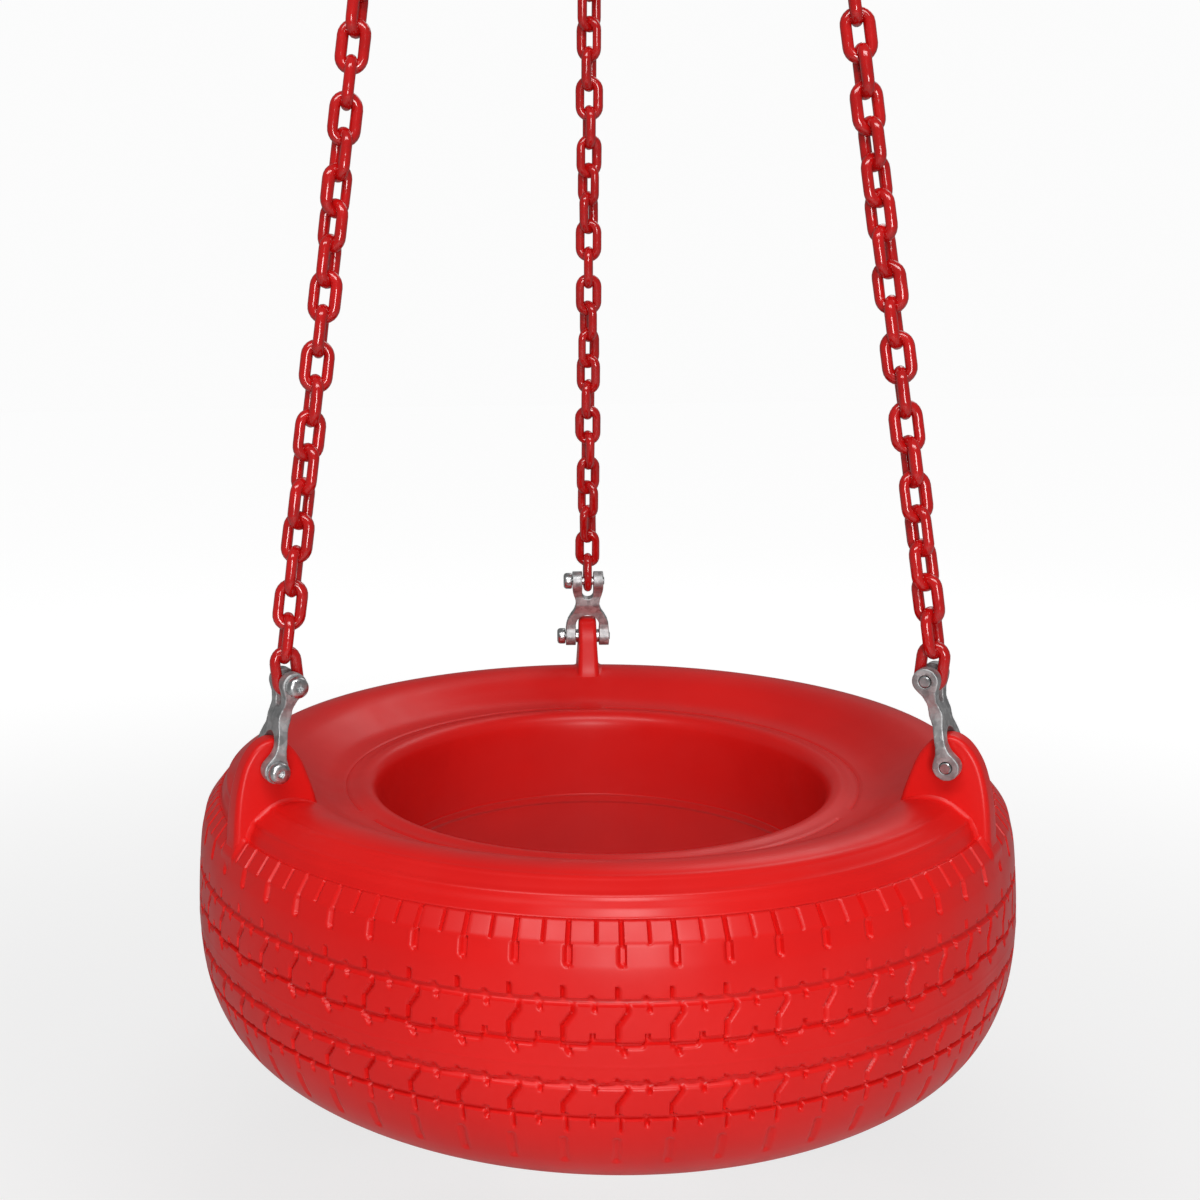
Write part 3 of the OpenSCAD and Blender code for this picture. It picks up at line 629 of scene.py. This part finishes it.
def link_points(rng):
    """One coated link: a bar bent into a long ring, its coating a little uneven."""
    straight = LINK_HALF - LINK_BEND
    path = []
    for side, start in ((1, 0), (-1, 180)):
        for a in np.radians(start + np.linspace(0, 180, BEND_STEPS)):
            path.append((LINK_BEND * math.cos(a), side * straight + LINK_BEND * math.sin(a)))
    path = np.array(path)
    along = np.roll(path, -1, 0) - np.roll(path, 1, 0)
    along /= np.linalg.norm(along, axis=1)[:, None]
    around = np.radians(np.arange(0, 360, 360 / BAR_SIDES))
    sag = 1 + COAT_SWELL * rng.standard_normal(4)
    n = len(path)
    turn = 2 * math.pi * np.arange(n) / n
    swell = BAR_R * (1 + (sag[0] - 1) * np.cos(turn) + (sag[1] - 1) * np.sin(2 * turn)
                     + (sag[2] - 1) * np.cos(3 * turn))
    side_x, side_z = along[:, 1], -along[:, 0]
    x = path[:, :1] + swell[:, None] * np.cos(around) * side_x[:, None]
    z = path[:, 1:] + swell[:, None] * np.cos(around) * side_z[:, None]
    y = swell[:, None] * np.sin(around) * np.ones_like(x)
    return np.stack([x, y, z], -1).reshape(-1, 3), n, len(around)


def make_chain(side):
    """A chain as one mesh of separate links; their thick coats run into each other."""
    rng = np.random.default_rng(CHAIN_SEEDS[side])
    step = -HALF_TURNS[side] * math.pi / (LINKS - 1)
    points, faces = [], []
    for k in range(LINKS):
        local, n, m = link_points(rng)
        place = at(LUG_ANGLES[side], FIRST_LINK, FIRST_LINK_LEAN)
        if k:
            place = at(LUG_ANGLES[side], SECOND_LINK + (k - 1) * LINK_PITCH * up(CHAIN_LEAN),
                       CHAIN_LEAN)
        place = np.array(place @ Matrix.Rotation(k * step, 4, "Z"))
        base = k * n * m
        points.append(local * MM @ place[:3, :3].T + place[:3, 3])
        index = base + np.arange(n * m).reshape(n, m)
        a, b = index, np.roll(index, -1, 0)
        c, d = np.roll(b, -1, 1), np.roll(a, -1, 1)
        faces.append(np.stack([a, b, c, d], -1).reshape(-1, 4))
    chain = new_piece("chain_" + side + "_coated", np.concatenate(points),
                      np.concatenate(faces), "seat", "chain_red")
    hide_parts("chain_" + side)


# ---------------------------------------------------------------- forged and cast pieces
FORK_WIDE = 21.0         # half width of the wide fork
FORK_NARROW = 14.8       # half width of the narrow fork
ARCH_R = 11.3            # half gap of the wide fork
SLOT_R = 5.3             # half gap of the narrow fork
WAIST = 11.3             # half width of the waist
EAR_R = 9.2              # radius of the fork's ears
PIN_R = 4.0              # radius of the shackle pins
PIN_HEAD_R = 7.7         # radius of a pin's head
BEYOND = 12              # how far the blank's outline runs past each pin


def prism(name, outline, half, turn):
    """A closed prism: the outline lies in X and Y of a turned frame and is as thick as 2 half."""
    n = len(outline)
    points = [turn @ Vector((x, y, side * half)) * MM for side in (-1, 1) for x, y in outline]
    faces = [list(reversed(range(n))), list(range(n, 2 * n))]
    faces += [[i, (i + 1) % n, n + (i + 1) % n, n + i] for i in range(n)]
    return new_piece(name, points, faces, None, "galvanised")


def arc(x, y, radius, start, end, count):
    """Points of an arc, with angles in degrees."""
    return [(x + radius * math.cos(a), y + radius * math.sin(a))
            for a in np.radians(np.linspace(start, end, count))]


def shackle_blank():
    """The forged H: front outline crossed with the side outline, edges rounded by smoothing."""
    shoulder = [
        (FORK_WIDE, 8), (FORK_WIDE - 0.5, 13.5), (FORK_WIDE - 2, 19), (FORK_WIDE - 4.8, 24.5),
        (FORK_WIDE - 7.8, 29), (WAIST + 0.3, 33.5), (WAIST, 37.5), (WAIST + 0.6, 42),
        (WAIST + 2, 46), (FORK_NARROW - 0.4, 51), (FORK_NARROW, 56)]
    top = SHACKLE_PITCH + BEYOND
    right = [(ARCH_R, -BEYOND), (FORK_WIDE, -BEYOND)] + shoulder + [(FORK_NARROW, top)]
    left = [(-x, y) for x, y in reversed(right)]
    slot = [(SLOT_R, top)]
    slot += arc(0, SHACKLE_PITCH - 18.5 + SLOT_R, SLOT_R, 0, -180, 13)
    slot += [(-SLOT_R, top)]
    arch = arc(0, 24.6 - ARCH_R, ARCH_R, 180, 0, 25)
    front = right + slot + left + arch
    to_front = Matrix(((0, 0, 1), (1, 0, 0), (0, 1, 0)))
    blank = prism("shackle", front, 20, to_front)
    side = arc(0, 0, EAR_R, -205, 25, 33)
    side += [(4.8, 10), (3.7, 15), (3.5, 27), (4.9, 36), (3.5, 45), (4.8, 51)]
    side += arc(0, SHACKLE_PITCH, EAR_R, -25, 205, 33)
    side += [(-4.8, 51), (-3.5, 45), (-4.9, 36), (-3.5, 27), (-3.7, 15), (-4.8, 10)]
    to_side = Matrix(((1, 0, 0), (0, 0, -1), (0, 1, 0)))
    combine(blank, prism("side", side, 30, to_side), "INTERSECT")
    for height in (0, SHACKLE_PITCH):
        across = Matrix.Translation(Vector((0, 0, height)) * MM) @ Matrix.Rotation(
            math.pi / 2, 4, "X")
        combine(blank, rod("bore", PIN_R + 0.35, 60, across), "DIFFERENCE")
    round_edges(blank, 0.5, 8)
    return blank


def round_edges(piece, voxel, rounds):
    """Remeshes a piece and relaxes it, as a forging's or a casting's edges are round."""
    mesh = piece.modifiers.new("mesh", "REMESH")
    mesh.mode = "VOXEL"
    mesh.voxel_size = voxel * MM
    relax = piece.modifiers.new("relax", "SMOOTH")
    relax.factor = 0.5
    relax.iterations = rounds
    apply_modifiers(piece)
    piece.data.materials.clear()
    piece.data.materials.append(MATERIALS["galvanised"])
    piece.data.shade_smooth()


def place_copy(blank, name, place, body, node):
    """A copy of a piece, moved in its mesh; it stands for a CAD node if one is given."""
    piece = bpy.data.objects.new(name, blank.data.copy())
    piece.data.transform(place)
    bpy.context.scene.collection.objects.link(piece)
    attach(piece, body)
    if node:
        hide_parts(node)
    return piece


def make_shackles():
    blank = shackle_blank()
    over = Matrix.Rotation(math.pi, 4, "Y")
    for side, angle in LUG_ANGLES.items():
        place_copy(blank, "shackle_bottom_" + side, at(angle, LUG_PIN, SHACKLE_LEAN), "seat",
                   "bottom_shackle_" + side)
        place_copy(blank, "shackle_top_" + side, at(angle, EAR_PIN, CHAIN_LEAN) @ over, "seat",
                   "top_shackle_" + side)
    bpy.data.objects.remove(blank)


def pin_blank(across):
    """A pin along Y: a domed head with a hexagon socket, a shank and a flush far end."""
    start, end, head = -across / 2 - 1, across / 2 + 0.4, across / 2 + 8.4
    profile = [(0, start), (PIN_R - 0.7, start), (PIN_R, start + 0.7), (PIN_R, end),
               (PIN_HEAD_R - 1.1, end), (PIN_HEAD_R - 0.3, end + 0.4), (PIN_HEAD_R, end + 1.2),
               (PIN_HEAD_R, head - 3), (PIN_HEAD_R - 0.35, head - 1.5),
               (PIN_HEAD_R - 1.3, head - 0.5), (PIN_HEAD_R - 2.7, head), (0, head)]
    count = 40
    points = [Vector((0, start, 0)) * MM]
    for radius, y in profile[1:-1]:
        for a in np.arange(count) * 2 * math.pi / count:
            points.append(Vector((radius * math.cos(a), y, radius * math.sin(a))) * MM)
    points.append(Vector((0, head, 0)) * MM)
    rows = len(profile) - 2
    faces = []
    for i in range(count):
        j = (i + 1) % count
        faces.append([0, 1 + i, 1 + j])
        for r in range(rows - 1):
            a, b = 1 + r * count, 1 + (r + 1) * count
            faces.append([a + j, a + i, b + i, b + j])
        last = 1 + (rows - 1) * count
        faces.append([last + j, last + i, len(points) - 1])
    pin = new_piece("pin", points, faces, None, "zinc")
    hexagon = arc(0, 0, 2.6 / math.cos(math.radians(30)), 0, 300, 6)
    to_end = Matrix(((1, 0, 0), (0, 0, 1), (0, -1, 0)))
    socket = prism("socket", hexagon, 5, to_end)
    socket.data.transform(Matrix.Translation(Vector((0, head + 0.8, 0)) * MM))
    combine(pin, socket, "DIFFERENCE")
    pin.data.shade_smooth()
    pin.data.set_sharp_from_angle(angle=math.radians(40))
    return pin


def make_pins():
    """The pins at both ends of the six shackles."""
    rows = [("lug_pins", FORK_WIDE, LUG_PIN, SHACKLE_LEAN),
            ("bottom_chain_pins", FORK_NARROW, LOW_CHAIN_PIN, SHACKLE_LEAN),
            ("top_chain_pins", FORK_NARROW, HIGH_CHAIN_PIN, CHAIN_LEAN),
            ("hub_ear_pins", FORK_WIDE, EAR_PIN, CHAIN_LEAN)]
    for node, half, place, lean in rows:
        blank = pin_blank(2 * half)
        for side, angle in LUG_ANGLES.items():
            piece = place_copy(blank, node[:-1] + "_" + side, at(angle, place, lean), "seat",
                               None)
            if side == "rear":
                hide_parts(node)
        bpy.data.objects.remove(blank)


def soften(node, body, voxel, rounds):
    """A copy of a CAD node with the rounded edges of a casting."""
    source = frame["nodes"][node]
    piece = bpy.data.objects.new(node + "_cast", source.data.copy())
    bpy.context.scene.collection.objects.link(piece)
    weld = piece.modifiers.new("weld", "WELD")
    weld.merge_threshold = 0.01 * MM
    round_edges(piece, voxel, rounds)
    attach(piece, body)
    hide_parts(node)


def make_castings():
    soften("beam_bracket", "mount", 1.0, 3)
    soften("knuckle", "knuckle", 0.7, 5)
    soften("swivel_stem", "stem", 0.8, 4)
    soften("hub", "seat", 0.9, 5)
    soften("dust_cap", "seat", 0.6, 3)


def dress_cad_pieces():
    """Gives every CAD piece that still shows its slot's material."""
    slots = {row["node"]: row["material_slot"] for row in frame["record"]["subparts"]}
    for name, piece in frame["nodes"].items():
        piece.data.materials.clear()
        piece.data.materials.append(MATERIALS[slots[name]])


# ---------------------------------------------------------------- studio
def make_floor(height):
    """A pale floor that glows to the eye, more so far out, so that it runs into the backdrop."""
    size = 14.0
    mesh = bpy.data.meshes.new("floor")
    corners = [(-size, -size, 0), (size, -size, 0), (size, size, 0), (-size, size, 0)]
    mesh.from_pydata(corners, [], [(0, 1, 2, 3)])
    floor = bpy.data.objects.new("floor", mesh)
    floor.location.z = height
    bpy.context.scene.collection.objects.link(floor)
    material, nodes, links, shader = node_material("floor")
    shader.inputs["Base Color"].default_value = (0.55, 0.55, 0.55, 1)
    shader.inputs["Roughness"].default_value = 0.95
    shader.inputs["Specular IOR Level"].default_value = 0.1
    shader.inputs["Emission Color"].default_value = (1, 1, 1, 1)
    place = nodes.new("ShaderNodeTexCoord")
    away = nodes.new("ShaderNodeVectorMath")
    away.operation = "LENGTH"
    links.new(place.outputs["Object"], away.inputs[0])
    glow = nodes.new("ShaderNodeMapRange")
    glow.interpolation_type = "SMOOTHSTEP"
    glow.inputs["From Min"].default_value = 0.4
    glow.inputs["From Max"].default_value = 3.5
    glow.inputs["To Min"].default_value = 0.54
    glow.inputs["To Max"].default_value = 0.86
    links.new(away.outputs["Value"], glow.inputs["Value"])
    seen = nodes.new("ShaderNodeLightPath")
    share = nodes.new("ShaderNodeMapRange")
    share.inputs["To Min"].default_value = 0.12
    share.inputs["To Max"].default_value = 1.0
    links.new(seen.outputs["Is Camera Ray"], share.inputs["Value"])
    strength = nodes.new("ShaderNodeMath")
    strength.operation = "MULTIPLY"
    links.new(glow.outputs["Result"], strength.inputs[0])
    links.new(share.outputs["Result"], strength.inputs[1])
    links.new(strength.outputs["Value"], shader.inputs["Emission Strength"])
    mesh.materials.append(material)


def make_backdrop():
    """White where it is seen, and softer where it lights the swing."""
    world = bpy.data.worlds.new("studio")
    world.use_nodes = True
    nodes, links = world.node_tree.nodes, world.node_tree.links
    seen = nodes.new("ShaderNodeLightPath")
    strength = nodes.new("ShaderNodeMapRange")
    strength.inputs["To Min"].default_value = 0.20
    strength.inputs["To Max"].default_value = 0.97
    links.new(seen.outputs["Is Camera Ray"], strength.inputs["Value"])
    nodes["Background"].inputs["Color"].default_value = (1, 1, 1, 1)
    links.new(strength.outputs["Result"], nodes["Background"].inputs["Strength"])
    bpy.context.scene.world = world
    bpy.context.scene.view_settings.view_transform = "Standard"


def make_lamps():
    """Soft boxes: one beside the camera, one overhead, one behind."""
    aim = Vector((0, 0, (RIM_Z - 40) * MM))
    lights = [
        ("front", (0.15, -2.6, 0.45), 0.55, 0.8, 26),
        ("overhead", (-0.1, -1.5, 1.9), 2.0, 0.55, 32),
        ("behind", (1.2, 1.9, 2.2), 1.6, 1.2, 12),
    ]
    for name, offset, width, height, power in lights:
        data = bpy.data.lights.new(name, "AREA")
        data.shape = "RECTANGLE"
        data.size = width
        data.size_y = height
        data.energy = power
        lamp = bpy.data.objects.new(name, data)
        lamp.location = aim + Vector(offset)
        lamp.rotation_mode = "QUATERNION"
        lamp.rotation_quaternion = (aim - lamp.location).to_track_quat("-Z", "Y")
        bpy.context.scene.collection.objects.link(lamp)


make_camera()
make_seat()
for lug_side in LUG_ANGLES:
    make_chain(lug_side)
make_shackles()
make_pins()
make_castings()
dress_cad_pieces()
make_floor(cad_box[0].z - 0.42)
make_backdrop()
make_lamps()
